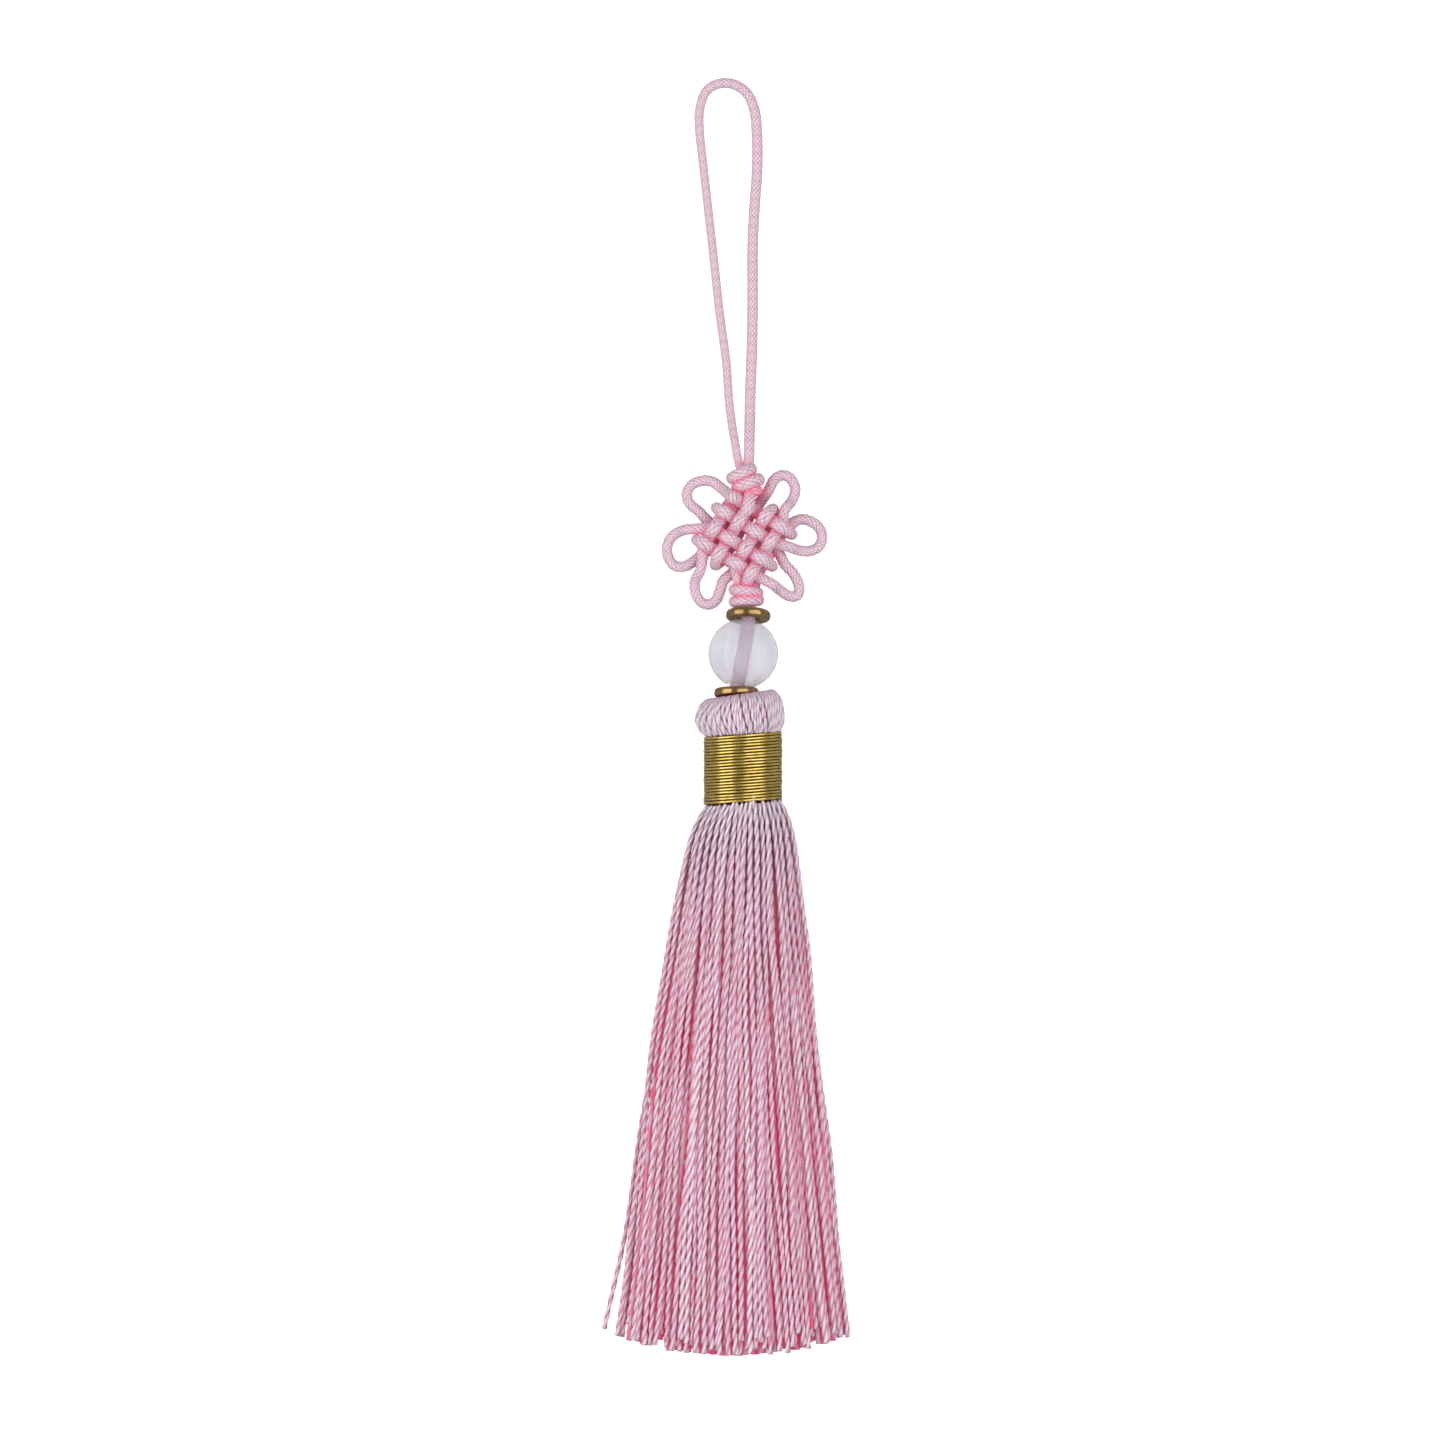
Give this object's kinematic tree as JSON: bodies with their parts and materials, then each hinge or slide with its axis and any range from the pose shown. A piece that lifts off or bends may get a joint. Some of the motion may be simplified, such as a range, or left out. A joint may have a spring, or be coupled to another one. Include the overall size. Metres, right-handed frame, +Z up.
{
  "type": "bookmark tassel",
  "caption": "Silk cord loop with an endless knot of six ears between two button knots, a glass bead between metal rings, and a bound thread tassel fanned out flat on its back.",
  "frame": {"origin": "on the surface that the tassel lies on, under the middle of the thread head, at its flat spot", "axes": "+Y from the skirt's tips towards the hanging loop, +Z up from the surface, +X to the right as the tassel is seen from above with its loop at the top"},
  "size_m": [0.0257, 0.1294, 0.0085],
  "materials": {
    "pink_cord": "braided silk cord, soft sheen",
    "antique_gold": "polished antique gold",
    "milky_glass": "polished milky glass",
    "lilac_thread": "three-ply rayon thread with a silky sheen",
    "gold_thread": "metallic gold thread"
  },
  "bodies": {
    "root": {"hanging_loop": "pink_cord", "cord_knot": "pink_cord", "upper_ring": "antique_gold", "bead": "milky_glass", "lower_ring": "antique_gold", "tassel": "lilac_thread", "gold_binding": "gold_thread"}
  },
  "joints": []
}
